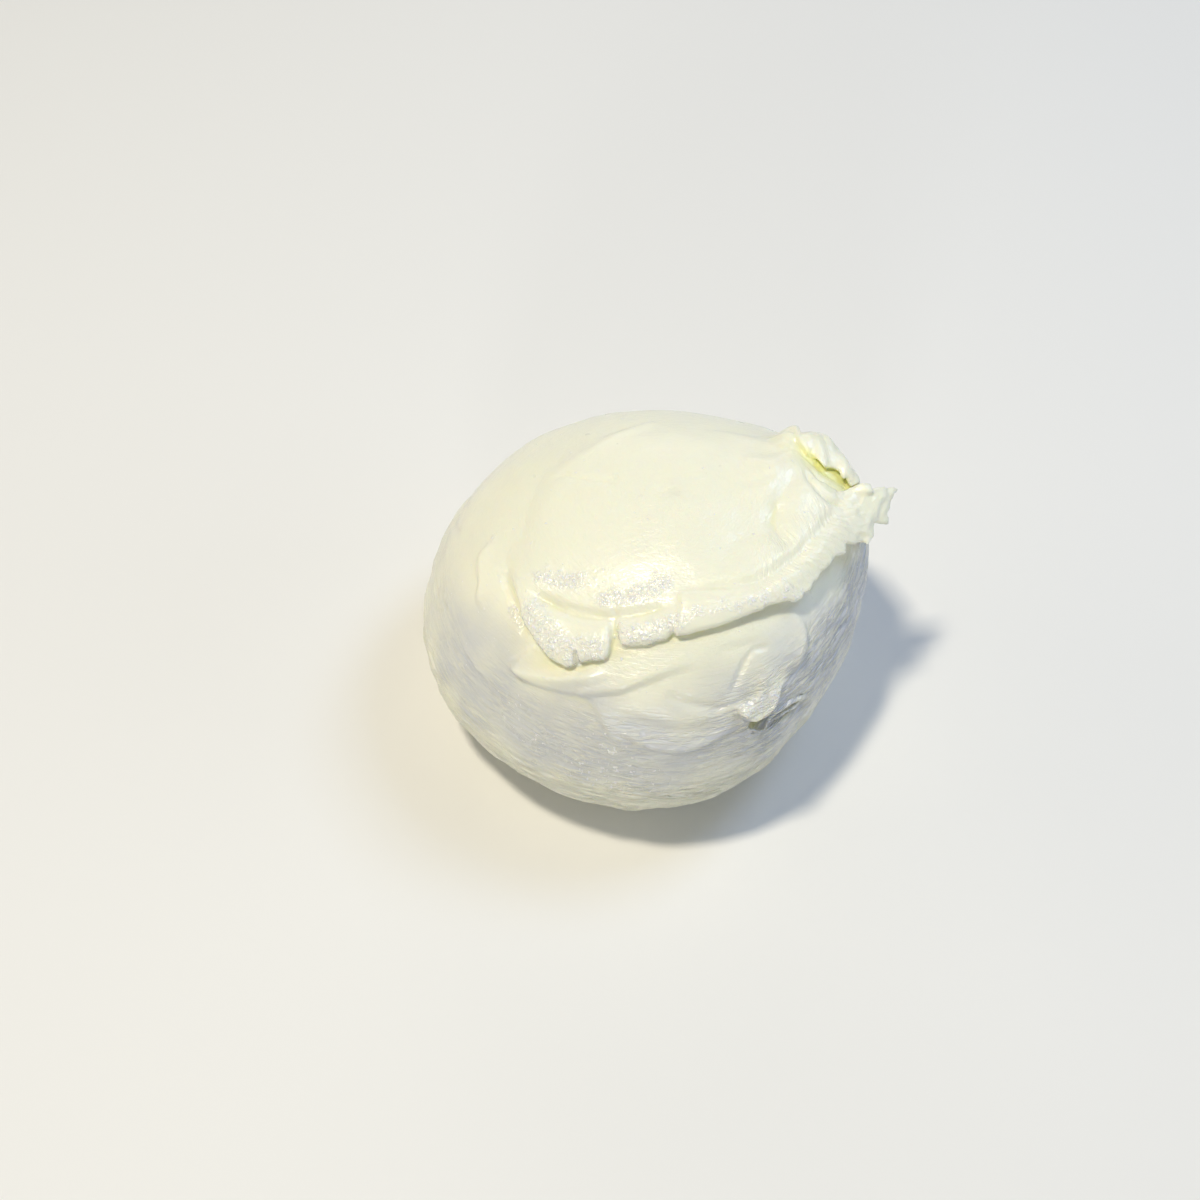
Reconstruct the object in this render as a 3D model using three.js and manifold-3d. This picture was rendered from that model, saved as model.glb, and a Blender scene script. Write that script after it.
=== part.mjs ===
// A burrata: a ball of soft stretched-curd cheese, lying on the side of its knot.
//
// The skin of such a ball is one pulled sheet.  It is stretched over a soft filling, folded over itself, and
// gathered at one end, where it is pinched shut and torn off.  So the form has five parts, all one lump:
//   ball      the filled ball itself, slumped under its own weight onto a small flat base
//   lid       the last fold of skin across the top, whose free hem makes a step round the front
//   back      the far lip of the gathered mouth, which curls forward over a shallow hollow
//   tail      the torn, frilled end of the gathering
//   tab       a small torn flap low on the flank
//
// Units are millimetres and +Z is up.  The front of the ball faces -Y and the gathered end points to +X.
// Places on the skin are given on a map of the ball seen from above: u to the right (+X) and v to the back (+Y),
// where the distance from the middle of the map is the angle down from the top, in degrees.

import * as THREE from 'three'
import Module from 'manifold-3d'

// ---- driving dimensions -------------------------------------------------------------------------------------

const BALL_RADIUS = 42.4 // mean radius of the outline seen from above
const BALL_HEIGHT = 57.5 // height of the crown above the base
const EQUATOR = 24 // height of the widest ring
const BELOW = 27 // depth the lower half would have without the flat base
const UPPER_POWER = 2.3 // superellipse powers: 2 is an ellipse, more is boxier
const LOWER_POWER = 2.1
const LEAN = [5, 3] // how far the crown leans over, in x and y, for each LEAN_RISE of height
const LEAN_RISE = 30
const CROWN_TILT = 0.06 // the crown rises towards +X by this slope

// The outline seen from above is a circle with a few slow waves: [waves around, share of radius, first crest].
const OUTLINE_WAVES = [[2, 0.04, 3], [3, 0.032, 30], [4, 0.015, 21], [5, 0.004, 15]]

// Grid steps, which set the number of facets.
const BALL_COLUMNS = 68
const BALL_ROWS = 27
const LID_COLUMNS = 150
const LID_RINGS = 10

// The lid: its middle on the map, and its hem as [u, v, lift of the hem above the ball].
const LID_MIDDLE = [-14, -12]
const LID_HEM = [
  [54, -4, 4.6], [50.5, -6.2, 4.8], [47.6, -8, 5], [47.8, -11.5, 5.6], [43, -15, 5], [39, -20.5, 4.8],
  [36, -25.5, 4.5], [31.5, -28.6, 4], [24, -31, 3.4], [12, -35.4, 3.1], [3.5, -38, 3],
  [-6, -39.6, 3], [-12.4, -41.2, 3], [-16, -37.6, 2.2], [-19, -44.4, 3.4], [-23.5, -46.2, 3.8],
  [-29, -45, 3.8], [-34.5, -40.5, 3.4], [-38.5, -33.5, 3], [-41.2, -24.5, 2.4], [-43, -15, 1.6],
  [-45, -3, 0.3], [-45, 10, -1], [-38, 30, -1], [-18, 42, -1], [8, 46, -1], [27, 38, -1],
  [33, 27, 1.5], [31, 17.5, 3.4], [28.8, 10.6, 4], [30.4, 8.5, 4.2], [34.7, 8.1, 4.6],
  [38, 6, 4.8], [42.5, 6, 5.6], [49, 4.5, 6.4], [54, 1, 5.4],
]
const LID_CROWN_LIFT = 0.7 // lift of the lid in its middle
const LID_RISE_START = 0.45 // share of the way out where the lid starts to rise to its hem
const LID_SINK = -1.6 // the underside of the lid, inside the ball
const HEM_THICKNESS = 2.2 // thickness of the free hem
const HEM_UNDERCUT = 0.8 // share of the way out where the underside leaves the ball
const HEM_GROOVE = { at: 0.8, width: 0.07, depth: 0.9, middle: 250, reach: 38 }

// The crease where the smooth crown meets the gathered skin, a soft valley on the map.
const VALLEY = { path: [[25, 9], [23, 1], [22.5, -7], [28, -16], [34, -20.5]], width: 3.2, depth: 1.5 }

// Soft folds below the hem: a path on the map, the width of the fold and its height, all smooth ridges.
const FOLDS = [
  { path: [[-47, -22], [-42, -34], [-36, -43], [-26, -50], [-14, -49], [0, -45]], width: 3, height: 1.3 },
  { path: [[24, -37], [34, -35], [41, -34], [41, -42], [33, -49]], width: 4, height: 1.5 },
  { path: [[-51, -4], [-53, -18], [-50, -28]], width: 3.5, height: 0.6 },
]

// The far lip of the mouth: three lines across the sheet from its hidden foot to its torn edge, [u, v, lift].
const BACK_FOOT = [[33, 31, -1.5], [38, 32, -1.5], [43, 30, -1.5], [47, 26, -1.5], [50, 20, -1.5], [52, 13, -1.5]]
const BACK_CREST = [[31, 22.5, 3.9], [34.5, 20.5, 4.8], [38, 20.5, 5.5], [40.5, 18.5, 5.8], [43, 13.5, 5.8], [46.5, 10.5, 5.4]]
const BACK_TORN = [[30.5, 15.5, 3.9], [30.6, 11.8, 4.2], [33.6, 10.4, 5], [36.6, 9, 5.2], [40.4, 9.4, 5.2], [43.8, 7.4, 4.8]]
const BACK_THICKNESS = 1.6

// The torn tail: two lines from the foot to the tip, [u, v, lift], and its thickness.
const TAIL_UPPER = [[38, 4, 4.2], [44.5, 5.5, 7.6], [47.3, 6, 7.8], [49.5, 6.3, 9.4], [52.5, 7, 10.8]]
const TAIL_LOWER = [[44, -6, 4.2], [50, -5, 4.8], [53, -2, 5.4], [53.5, 0, 6.6], [54.5, 2, 8]]
const TAIL_THICKNESS = 1.8

// The torn flap: where it joins the ball, and its free edge, [u, v, lift].
const TAB_ROOT = [[41, -45.5, -0.8], [35, -48, -0.8], [29, -51.5, -0.8], [24, -57, -0.8]]
const TAB_EDGE = [[43, -48, 0.9], [40, -54, 2], [35.5, -60, 2.3], [27.5, -62, 1.2]]
const TAB_THICKNESS = 1.5

const CHEESE = new THREE.MeshStandardMaterial({ color: 0xf1efdc, roughness: 0.38, metalness: 0 })
CHEESE.name = 'cheese'

// ---- the ball -----------------------------------------------------------------------------------------------

const RAD = Math.PI / 180

/** Radius of the outline seen from above, in the direction azimuth (radians). */
function outlineRadius(azimuth) {
  const wave = ([count, share, crest]) => share * Math.cos(count * (azimuth - crest * RAD))
  return BALL_RADIUS * (1 + OUTLINE_WAVES.map(wave).reduce((sum, value) => sum + value, 0))
}

/** A point of the smooth ball: a superellipse turned about a leaning axis, cut flat at z = 0. */
function ballPoint(azimuth, polar) {
  const upper = Math.cos(polar) >= 0
  const power = 2 / (upper ? UPPER_POWER : LOWER_POWER)
  const radius = outlineRadius(azimuth) * Math.abs(Math.sin(polar)) ** power
  const reach = upper ? BALL_HEIGHT - EQUATOR : BELOW
  const height = EQUATOR + (upper ? 1 : -1) * reach * Math.abs(Math.cos(polar)) ** power
  const x = radius * Math.cos(azimuth) + (LEAN[0] * (height - EQUATOR)) / LEAN_RISE
  const y = radius * Math.sin(azimuth) + (LEAN[1] * (height - EQUATOR)) / LEAN_RISE
  const crown = THREE.MathUtils.clamp(height / BALL_HEIGHT, 0, 1) ** 2
  return new THREE.Vector3(x, y, Math.max(height + crown * CROWN_TILT * x, 0))
}

/** The point of the smooth ball at a place on the map. */
function mapPoint(u, v) {
  return ballPoint(Math.atan2(v, u), Math.hypot(u, v) * RAD)
}

/** The outward direction of the smooth ball at a place on the map. */
function mapNormal(u, v) {
  const step = 0.5
  const along = mapPoint(u + step, v).sub(mapPoint(u - step, v))
  const across = mapPoint(u, v + step).sub(mapPoint(u, v - step))
  return along.cross(across).normalize()
}

/** A point above the skin (lift > 0) or inside it (lift < 0). */
function lifted(u, v, lift) {
  return mapPoint(u, v).addScaledVector(mapNormal(u, v), lift)
}

// ---- curves and folds on the map ----------------------------------------------------------------------------

/** A smooth curve through points of two or three numbers. */
function smoothCurve(points, closed = false) {
  return new THREE.CatmullRomCurve3(points.map(([u, v, w = 0]) => new THREE.Vector3(u, v, w)), closed, 'centripetal')
}

/** Shortest distance on the map from (u, v) to a fold's path, whose samples are kept with the fold. */
function distanceToFold(fold, u, v) {
  fold.samples ??= smoothCurve(fold.path).getPoints(8 * fold.path.length)
  return Math.min(...fold.samples.map((point) => Math.hypot(point.x - u, point.y - v)))
}

/** A bell curve: 1 on the line, falling away over the width. */
function bell(distance, width) {
  return Math.exp(-((distance / width) ** 2))
}

/** Height of all the soft folds of the ball at a place on the map. */
function foldHeight(u, v) {
  return FOLDS.reduce((sum, fold) => sum + fold.height * bell(distanceToFold(fold, u, v), fold.width), 0)
}

// ---- closed surfaces from grids -----------------------------------------------------------------------------

/** A closed solid for manifold-3d, from points and triangles. */
function solidFrom(wasm, points, triangles) {
  const vertProperties = new Float32Array(points.flatMap((point) => point.toArray()))
  return new wasm.Manifold(new wasm.Mesh({ numProp: 3, vertProperties, triVerts: new Uint32Array(triangles.flat()) }))
}

/** Triangles between two rings of vertices that start at a and b; the ring b lies outside or below ring a. */
function ringBand(a, b, count) {
  const faces = []
  for (let i = 0; i < count; i++) {
    const j = (i + 1) % count
    faces.push([a + i, b + i, b + j], [a + i, b + j, a + j])
  }
  return faces
}

/** A solid from rings between two end points: the first point, the rings in order, the last point. */
function ringSolid(wasm, first, rings, last) {
  const count = rings[0].length
  const points = [first, ...rings.flat(), last]
  const start = (ring) => 1 + ring * count
  const faces = []
  for (let i = 0; i < count; i++) {
    const j = (i + 1) % count
    faces.push([0, start(0) + i, start(0) + j])
    faces.push([points.length - 1, start(rings.length - 1) + j, start(rings.length - 1) + i])
  }
  for (let ring = 0; ring + 1 < rings.length; ring++) faces.push(...ringBand(start(ring), start(ring + 1), count))
  return solidFrom(wasm, points, faces)
}

/** A sheet of skin between lines, from a root line to a free edge, as a closed solid that thins at its rim. */
function sheetSolid(wasm, lines, thickness, stepsAlong, stepsAcross) {
  const curves = lines.map((line) => smoothCurve(line))
  const centre = (along, across) => {
    const place = smoothCurve(curves.map((curve) => curve.getPoint(along).toArray())).getPoint(across)
    return lifted(place.x, place.y, place.z)
  }
  const points = [[], []]
  for (let i = 0; i <= stepsAlong; i++) {
    for (let j = 0; j <= stepsAcross; j++) {
      const along = THREE.MathUtils.clamp(i / stepsAlong, 0.01, 0.99)
      const across = THREE.MathUtils.clamp(j / stepsAcross, 0.01, 0.99)
      const alongStep = centre(along + 0.01, across).sub(centre(along - 0.01, across))
      const acrossStep = centre(along, across + 0.01).sub(centre(along, across - 0.01))
      const normal = alongStep.cross(acrossStep).normalize()
      const rim = Math.min(1, 0.25 + 4 * Math.min(i / stepsAlong, 1 - i / stepsAlong, 1 - j / stepsAcross))
      const middle = centre(i / stepsAlong, j / stepsAcross)
      points[0].push(middle.clone().addScaledVector(normal, (thickness * rim) / 2))
      points[1].push(middle.clone().addScaledVector(normal, (-thickness * rim) / 2))
    }
  }
  return gridShell(wasm, points, stepsAlong, stepsAcross)
}

/** Joins an upper and a lower grid of points along their rims into one closed solid. */
function gridShell(wasm, [upper, lower], stepsAlong, stepsAcross) {
  const at = (i, j, side) => side * upper.length + i * (stepsAcross + 1) + j
  const faces = []
  for (let i = 0; i < stepsAlong; i++) {
    for (let j = 0; j < stepsAcross; j++) {
      const [a, b, c, d] = [at(i, j, 0), at(i + 1, j, 0), at(i + 1, j + 1, 0), at(i, j + 1, 0)]
      const below = upper.length
      faces.push([a, b, c], [a, c, d], [a + below, c + below, b + below], [a + below, d + below, c + below])
    }
  }
  const rim = [
    ...Array.from({ length: stepsAlong }, (_, i) => [i, 0]),
    ...Array.from({ length: stepsAcross }, (_, j) => [stepsAlong, j]),
    ...Array.from({ length: stepsAlong }, (_, i) => [stepsAlong - i, stepsAcross]),
    ...Array.from({ length: stepsAcross }, (_, j) => [0, stepsAcross - j]),
  ]
  rim.forEach(([i, j], index) => {
    const [k, l] = rim[(index + 1) % rim.length]
    faces.push([at(i, j, 0), at(i, j, 1), at(k, l, 1)], [at(i, j, 0), at(k, l, 1), at(k, l, 0)])
  })
  return solidFrom(wasm, [...upper, ...lower], faces)
}

// ---- the parts of the cheese --------------------------------------------------------------------------------

/** The ball with its soft folds, standing on its flat base. */
function makeBall(wasm) {
  const rimPolar = Math.PI - Math.acos((EQUATOR / BELOW) ** (LOWER_POWER / 2))
  const rings = []
  for (let row = 1; row <= BALL_ROWS; row++) {
    const polar = (rimPolar * row) / BALL_ROWS
    const ring = []
    for (let column = 0; column < BALL_COLUMNS; column++) {
      const azimuth = (2 * Math.PI * column) / BALL_COLUMNS
      const u = (polar / RAD) * Math.cos(azimuth)
      const v = (polar / RAD) * Math.sin(azimuth)
      ring.push(row === BALL_ROWS ? mapPoint(u, v).setZ(0) : lifted(u, v, foldHeight(u, v)))
    }
    rings.push(ring)
  }
  const base = new THREE.Vector3().lerpVectors(rings.at(-1)[0], rings.at(-1)[BALL_COLUMNS / 2], 0.5)
  return ringSolid(wasm, mapPoint(0, 0), rings, base)
}

/** The hem of the lid as a function of direction round the lid's middle: distance and lift. */
function hemTable() {
  const points = smoothCurve(LID_HEM, true).getPoints(600)
  const table = points.map(({ x, y, z }) => {
    const [du, dv] = [x - LID_MIDDLE[0], y - LID_MIDDLE[1]]
    return { direction: Math.atan2(dv, du), distance: Math.hypot(du, dv), lift: z }
  })
  return table.sort((a, b) => a.direction - b.direction)
}

/** How far the top of the lid stands above the ball, at a share of the way out to the hem. */
function lidLift(share, hem, u, v) {
  const rise = THREE.MathUtils.smoothstep(share, LID_RISE_START, 0.9)
  const turn = Math.cos(hem.direction - HEM_GROOVE.middle * RAD)
  const facing = THREE.MathUtils.smoothstep(turn, Math.cos(HEM_GROOVE.reach * RAD), 1)
  const groove = HEM_GROOVE.depth * facing * bell(share - HEM_GROOVE.at, HEM_GROOVE.width)
  const valley = VALLEY.depth * bell(distanceToFold(VALLEY, u, v), VALLEY.width)
  return THREE.MathUtils.lerp(LID_CROWN_LIFT, hem.lift, rise) - groove - valley
}

/** The lid: a closed sheet from its middle out to the hem and back along its underside. */
function makeLid(wasm) {
  const table = hemTable()
  const hems = Array.from({ length: LID_COLUMNS }, (_, column) => {
    const direction = -Math.PI + (2 * Math.PI * column) / LID_COLUMNS
    return { ...table.find((entry) => entry.direction >= direction), direction }
  })
  const point = (hem, share, lift) => {
    const u = LID_MIDDLE[0] + hem.distance * share * Math.cos(hem.direction)
    const v = LID_MIDDLE[1] + hem.distance * share * Math.sin(hem.direction)
    return lifted(u, v, lift ?? lidLift(share, hem, u, v))
  }
  const underside = (hem) => Math.max(LID_SINK, hem.lift - HEM_THICKNESS)
  const topShares = Array.from({ length: LID_RINGS }, (_, ring) => ((ring + 1) / LID_RINGS) ** 0.8 * 0.98)
  const rings = topShares.map((share) => hems.map((hem) => point(hem, share)))
  rings.push(hems.map((hem) => point(hem, 1, hem.lift - HEM_THICKNESS / 2)))
  rings.push(hems.map((hem) => point(hem, 0.97, underside(hem))))
  rings.push(hems.map((hem) => point(hem, HEM_UNDERCUT, LID_SINK)))
  return ringSolid(wasm, lifted(...LID_MIDDLE, LID_CROWN_LIFT), rings, lifted(...LID_MIDDLE, LID_SINK))
}

/** The far lip of the mouth, curling forward from its foot to its torn edge. */
function makeBack(wasm) {
  return sheetSolid(wasm, [BACK_FOOT, BACK_CREST, BACK_TORN], BACK_THICKNESS, 14, 6)
}

/** The torn tail of the gathering, reaching out past the ball. */
function makeTail(wasm) {
  return sheetSolid(wasm, [TAIL_UPPER, TAIL_LOWER].reverse(), TAIL_THICKNESS, 10, 4)
}

/** The torn flap low on the flank. */
function makeTab(wasm) {
  return sheetSolid(wasm, [TAB_ROOT, TAB_EDGE], TAB_THICKNESS, 8, 3)
}

/** Turns a manifold solid into a geometry that stands on z = 0 with its box centred on the axis. */
function centredGeometry(solid) {
  const mesh = solid.getMesh()
  const geometry = new THREE.BufferGeometry()
  geometry.setAttribute('position', new THREE.BufferAttribute(new Float32Array(mesh.vertProperties), 3))
  geometry.setIndex(new THREE.BufferAttribute(new Uint32Array(mesh.triVerts), 1))
  geometry.computeBoundingBox()
  const { min, max } = geometry.boundingBox
  geometry.translate(-(min.x + max.x) / 2, -(min.y + max.y) / 2, -min.z)
  geometry.computeVertexNormals()
  return geometry
}

const wasm = await Module()
wasm.setup()

const cheese = [makeLid, makeBack, makeTail, makeTab].reduce((lump, make) => lump.add(make(wasm)), makeBall(wasm))
const burrata = new THREE.Mesh(centredGeometry(cheese), CHEESE)
burrata.name = 'burrata'

const root = new THREE.Group()
root.name = 'burrata_ball'
root.add(burrata)

export default root
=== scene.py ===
# %% [markdown]
# # A burrata: one skin, folded, gathered and torn
#
# A burrata is a pouch of stretched curd.  The cheesemaker pulls hot curd into a sheet, fills it, folds the
# sheet over the filling and pinches the end shut.  What shows is therefore never a plain ball: there is a
# crown of skin folded over the top with a thick hem, a gathered collar at one side, the torn frill past the
# pinch, and many fine fibres along the way the curd was pulled.
#
# This lesson builds that skin with numpy: every part is a function of two parameters on a grid.  The parts
# are then fused into one closed skin, wrinkled, and given a moist, slightly see-through material.
#
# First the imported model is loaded.  It is the fixed frame: its box says where the cheese stands.

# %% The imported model
from itertools import product

import bpy
import numpy as np
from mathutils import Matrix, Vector


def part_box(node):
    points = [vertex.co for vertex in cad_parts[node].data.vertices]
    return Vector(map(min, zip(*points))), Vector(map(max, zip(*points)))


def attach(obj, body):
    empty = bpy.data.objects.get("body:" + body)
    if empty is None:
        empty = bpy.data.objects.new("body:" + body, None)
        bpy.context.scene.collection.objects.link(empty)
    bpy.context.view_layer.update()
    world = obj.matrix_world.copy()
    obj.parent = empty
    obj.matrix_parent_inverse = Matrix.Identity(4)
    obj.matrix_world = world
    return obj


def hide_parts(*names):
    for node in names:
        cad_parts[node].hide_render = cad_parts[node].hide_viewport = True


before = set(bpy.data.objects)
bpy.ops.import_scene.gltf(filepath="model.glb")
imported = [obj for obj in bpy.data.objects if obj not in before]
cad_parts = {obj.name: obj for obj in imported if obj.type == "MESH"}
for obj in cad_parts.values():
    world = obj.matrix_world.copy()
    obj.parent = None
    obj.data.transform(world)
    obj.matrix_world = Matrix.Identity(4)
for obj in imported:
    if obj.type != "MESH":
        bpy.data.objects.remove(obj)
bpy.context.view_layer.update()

lowest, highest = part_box("burrata")

# %% [markdown]
# ## The ball
#
# A filled pouch sags into a shape between a ball and a cushion.  Sculpting it by hand would work, but a
# superellipse turned about an upright axis has the same shape with four numbers: a power of 2 gives an
# ellipse, and a little more fills out the shoulders.  Slow waves round the outline and a lean of the crown
# make it uneven, as a soft ball is.
#
# Places on the skin are given on a flat map of the ball seen from above: u to the right, v to the back, and
# the distance from the middle is the angle down from the top in degrees.  Shapes are worked out in
# millimetres and become metres when a mesh is made.

# %% The ball and its map
BALL_RADIUS = 42.4
BALL_HEIGHT = 57.5
EQUATOR = 24.0  # height of the widest ring
BELOW = 27.0  # depth that the lower half would have without the flat spot it rests on
UPPER_POWER, LOWER_POWER = 2.3, 2.1
LEAN = (5.0, 3.0)  # how far the crown leans over, in x and y, for each LEAN_RISE of height
LEAN_RISE = 30.0
CROWN_TILT = 0.06  # the crown rises towards +X by this slope
MM_PER_DEGREE = 0.74  # of the map, measured down the flank
OUTLINE_WAVES = (  # waves in a turn, height as a share of the radius, direction of a crest in degrees
    (2, 0.040, 3), (3, 0.032, 30), (4, 0.015, 21), (5, 0.004, 15))


def outline_radius(azimuth):
    """Radius of the outline seen from above: a circle plus a few cosine waves round it."""
    waves = sum(share * np.cos(count * (azimuth - np.radians(crest)))
                for count, share, crest in OUTLINE_WAVES)
    return BALL_RADIUS * (1 + waves)


def ball_point(u, v):
    """Point of the smooth ball at a place on the map.

    The angle from the middle of the map runs down a superellipse (powers of its sine and cosine), the
    direction on the map is the direction round the upright axis, and the axis leans as it rises.
    """
    azimuth, polar = np.arctan2(v, u), np.radians(np.hypot(u, v))
    upper = np.cos(polar) >= 0
    power = np.where(upper, 2 / UPPER_POWER, 2 / LOWER_POWER)
    radius = outline_radius(azimuth) * np.abs(np.sin(polar)) ** power
    reach = np.where(upper, BALL_HEIGHT - EQUATOR, -BELOW)
    height = EQUATOR + reach * np.abs(np.cos(polar)) ** power
    x = radius * np.cos(azimuth) + LEAN[0] * (height - EQUATOR) / LEAN_RISE
    y = radius * np.sin(azimuth) + LEAN[1] * (height - EQUATOR) / LEAN_RISE
    crown = np.clip(height / BALL_HEIGHT, 0, 1) ** 2
    return np.stack([x, y, np.maximum(height + crown * CROWN_TILT * x, 0)], -1)


def ball_normal(u, v, step=0.5):
    """Outward direction of the ball: the cross product of two short steps along the map."""
    along = ball_point(u + step, v) - ball_point(u - step, v)
    across = ball_point(u, v + step) - ball_point(u, v - step)
    normal = np.cross(along, across)
    return normal / np.maximum(np.linalg.norm(normal, axis=-1, keepdims=True), 1e-9)


def lifted(u, v, lift):
    """Point above the skin (lift > 0) or inside it (lift < 0)."""
    return ball_point(u, v) + np.asarray(lift)[..., None] * ball_normal(u, v)


def map_place(points):
    """The way back from a point to its place on the map: take off the tilt and the lean, then undo the
    powers of the superellipse, first for the radius and then for the height."""
    x, y, z = points[..., 0], points[..., 1], points[..., 2]
    z = z - np.clip(z / BALL_HEIGHT, 0, 1) ** 2 * CROWN_TILT * x
    x = x - LEAN[0] * (z - EQUATOR) / LEAN_RISE
    y = y - LEAN[1] * (z - EQUATOR) / LEAN_RISE
    azimuth = np.arctan2(y, x)
    upper = z >= EQUATOR
    root = np.where(upper, UPPER_POWER / 2, LOWER_POWER / 2)
    across = (np.hypot(x, y) / outline_radius(azimuth)) ** root
    upright = (np.abs(z - EQUATOR) / np.where(upper, BALL_HEIGHT - EQUATOR, BELOW)) ** root
    polar = np.degrees(np.arctan2(across, np.where(upper, upright, -upright)))
    return polar * np.cos(azimuth), polar * np.sin(azimuth)


def lift_of(points, u, v):
    """How far points stand above the smooth ball, whose places on the map are given."""
    return ((points - ball_point(u, v)) * ball_normal(u, v)).sum(-1)


ring = np.linspace(0, 2 * np.pi, 721)
equator_ring = ball_point(90 * np.cos(ring), 90 * np.sin(ring))
place_shift = np.array([1000 * lowest[0] - equator_ring[:, 0].min(),
                        1000 * highest[1] - equator_ring[:, 1].max(), 0])
print("the ball is moved by", place_shift.round(2), "mm to stand in the solid's box")

# %% [markdown]
# ## The camera
#
# The photograph looks down at about 55 degrees, from the front, with a long lens.  The camera is made early,
# so that every later step can be looked at from the same place.  The aim is a point inside the ball, moved
# so that it falls right of and below the middle of the picture.

# %% Camera
LOOK_DOWN = np.radians(55.0)
CAMERA_DISTANCE = 380.0
FOCAL_PIXELS = 1881.0  # focal length in pixels of the 1200-pixel frame
FRAME_PIXELS = 1200
SENSOR = 36.0
BALL_CORE = np.array([0.8, -2.4, 27.0])
CORE_PIXEL = (646.0, 611.0)  # where the core of the ball falls in the photograph


def placed(name, data):
    """A new object that holds some data, put in the scene."""
    made = bpy.data.objects.new(name, data)
    bpy.context.collection.objects.link(made)
    return made


camera_right = np.array([1.0, 0.0, 0.0])
camera_up = np.array([0.0, np.sin(LOOK_DOWN), np.cos(LOOK_DOWN)])
camera_ahead = np.array([0.0, np.cos(LOOK_DOWN), -np.sin(LOOK_DOWN)])
aside = (CORE_PIXEL[0] - FRAME_PIXELS / 2) / FOCAL_PIXELS * CAMERA_DISTANCE
below = (CORE_PIXEL[1] - FRAME_PIXELS / 2) / FOCAL_PIXELS * CAMERA_DISTANCE
aim = BALL_CORE + place_shift - aside * camera_right + below * camera_up

camera_data = bpy.data.cameras.new("camera")
camera_data.lens = FOCAL_PIXELS / FRAME_PIXELS * SENSOR
camera_data.sensor_width = SENSOR
camera = placed("camera", camera_data)
camera.location = (aim - CAMERA_DISTANCE * camera_ahead) / 1000
camera.rotation_euler = (np.pi / 2 - LOOK_DOWN, 0, 0)
bpy.context.scene.camera = camera
print("camera lens", round(camera_data.lens, 1), "mm at", [round(c, 3) for c in camera.location])

# %% [markdown]
# ## Noise, smooth paths and folds
#
# Nothing on fresh curd is regular, so most shapes get some noise.  Blender's texture nodes could give it,
# but the skin is made before it has a material, so a small gradient noise in numpy does the work: random
# slopes at the corners of a cubic lattice, blended smoothly in between.
#
# A fold is described by a path on the map.  Across the path the skin steps up quickly and then sinks back
# slowly, which is what an overlapping layer of skin does when it has settled on the one below.

# %% Noise, paths and folds
NOISE_GAIN = 1.6  # brings the noise to about -1 to 1
FOLD_POINTS = 24  # points along the path of a fold or furrow
FURROW_FADE = 0.22  # share of a furrow's path over which it fades out at each end


def smooth_step(x, start=0.0, end=1.0):
    """0 below start, 1 above end, and the cubic 3t^2 - 2t^3 in between."""
    t = np.clip((x - start) / (end - start), 0, 1)
    return t * t * (3 - 2 * t)


def bell(distance, width):
    """A bell curve: 1 in the middle, falling away over the width."""
    return np.exp(-((distance / width) ** 2))


def noise(points, seed):
    """Gradient noise, about -1 to 1: at each lattice corner round a point, the dot product of a random unit
    slope with the way from that corner, blended by the quintic 6t^5 - 15t^4 + 10t^3 along each axis."""
    random = np.random.default_rng(seed)
    order = random.permutation(256)
    slopes = random.normal(size=(256, 3))
    slopes /= np.linalg.norm(slopes, axis=1, keepdims=True)
    cell = np.floor(points).astype(int)
    inside = points - cell
    blend = inside ** 3 * (inside * (inside * 6 - 15) + 10)
    total = np.zeros(points.shape[:-1])
    for corner in product((0, 1), repeat=3):
        at = (cell + corner) & 255
        slope = slopes[order[(order[(order[at[..., 0]] + at[..., 1]) & 255] + at[..., 2]) & 255]]
        weight = np.prod(np.where(corner, blend, 1 - blend), axis=-1)
        total += weight * ((inside - corner) * slope).sum(-1)
    return NOISE_GAIN * total


def flat_noise(u, v, seed):
    """Noise over a plane that lies between two layers of the lattice."""
    return noise(np.stack([u, v, np.full_like(u, 0.37)], -1), seed)


def line_noise(x, seed):
    """Noise along a line."""
    return flat_noise(x, 0 * x, seed)


def cubic(a, b, c, d, f):
    """Cubic from b (f = 0) to c (f = 1) whose slopes follow the neighbours a and d (Catmull-Rom)."""
    return b + 0.5 * f * (c - a + f * (2 * a - 5 * b + 4 * c - d + f * (3 * (b - c) + d - a)))


def smooth_path(points, count, closed=False):
    """Evenly spaced points on a smooth curve through the given ones: a cubic over each span, then measured
    along its length."""
    p = np.asarray(points, float)
    p = np.vstack([p[-1:], p, p[:2]]) if closed else np.vstack([2 * p[0] - p[1], p, 2 * p[-1] - p[-2]])
    t = np.linspace(0, len(p) - 3, 30 * (len(p) - 3) + 1)
    span = np.minimum(t.astype(int), len(p) - 4)
    f = (t - span)[:, None]
    curve = cubic(*(p[span + k] for k in range(4)), f)
    length = np.concatenate([[0], np.cumsum(np.linalg.norm(np.diff(curve[:, :2], axis=0), axis=1))])
    even = np.linspace(0, length[-1], count, endpoint=not closed)
    return np.stack([np.interp(even, length, column) for column in curve.T], -1)


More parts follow.
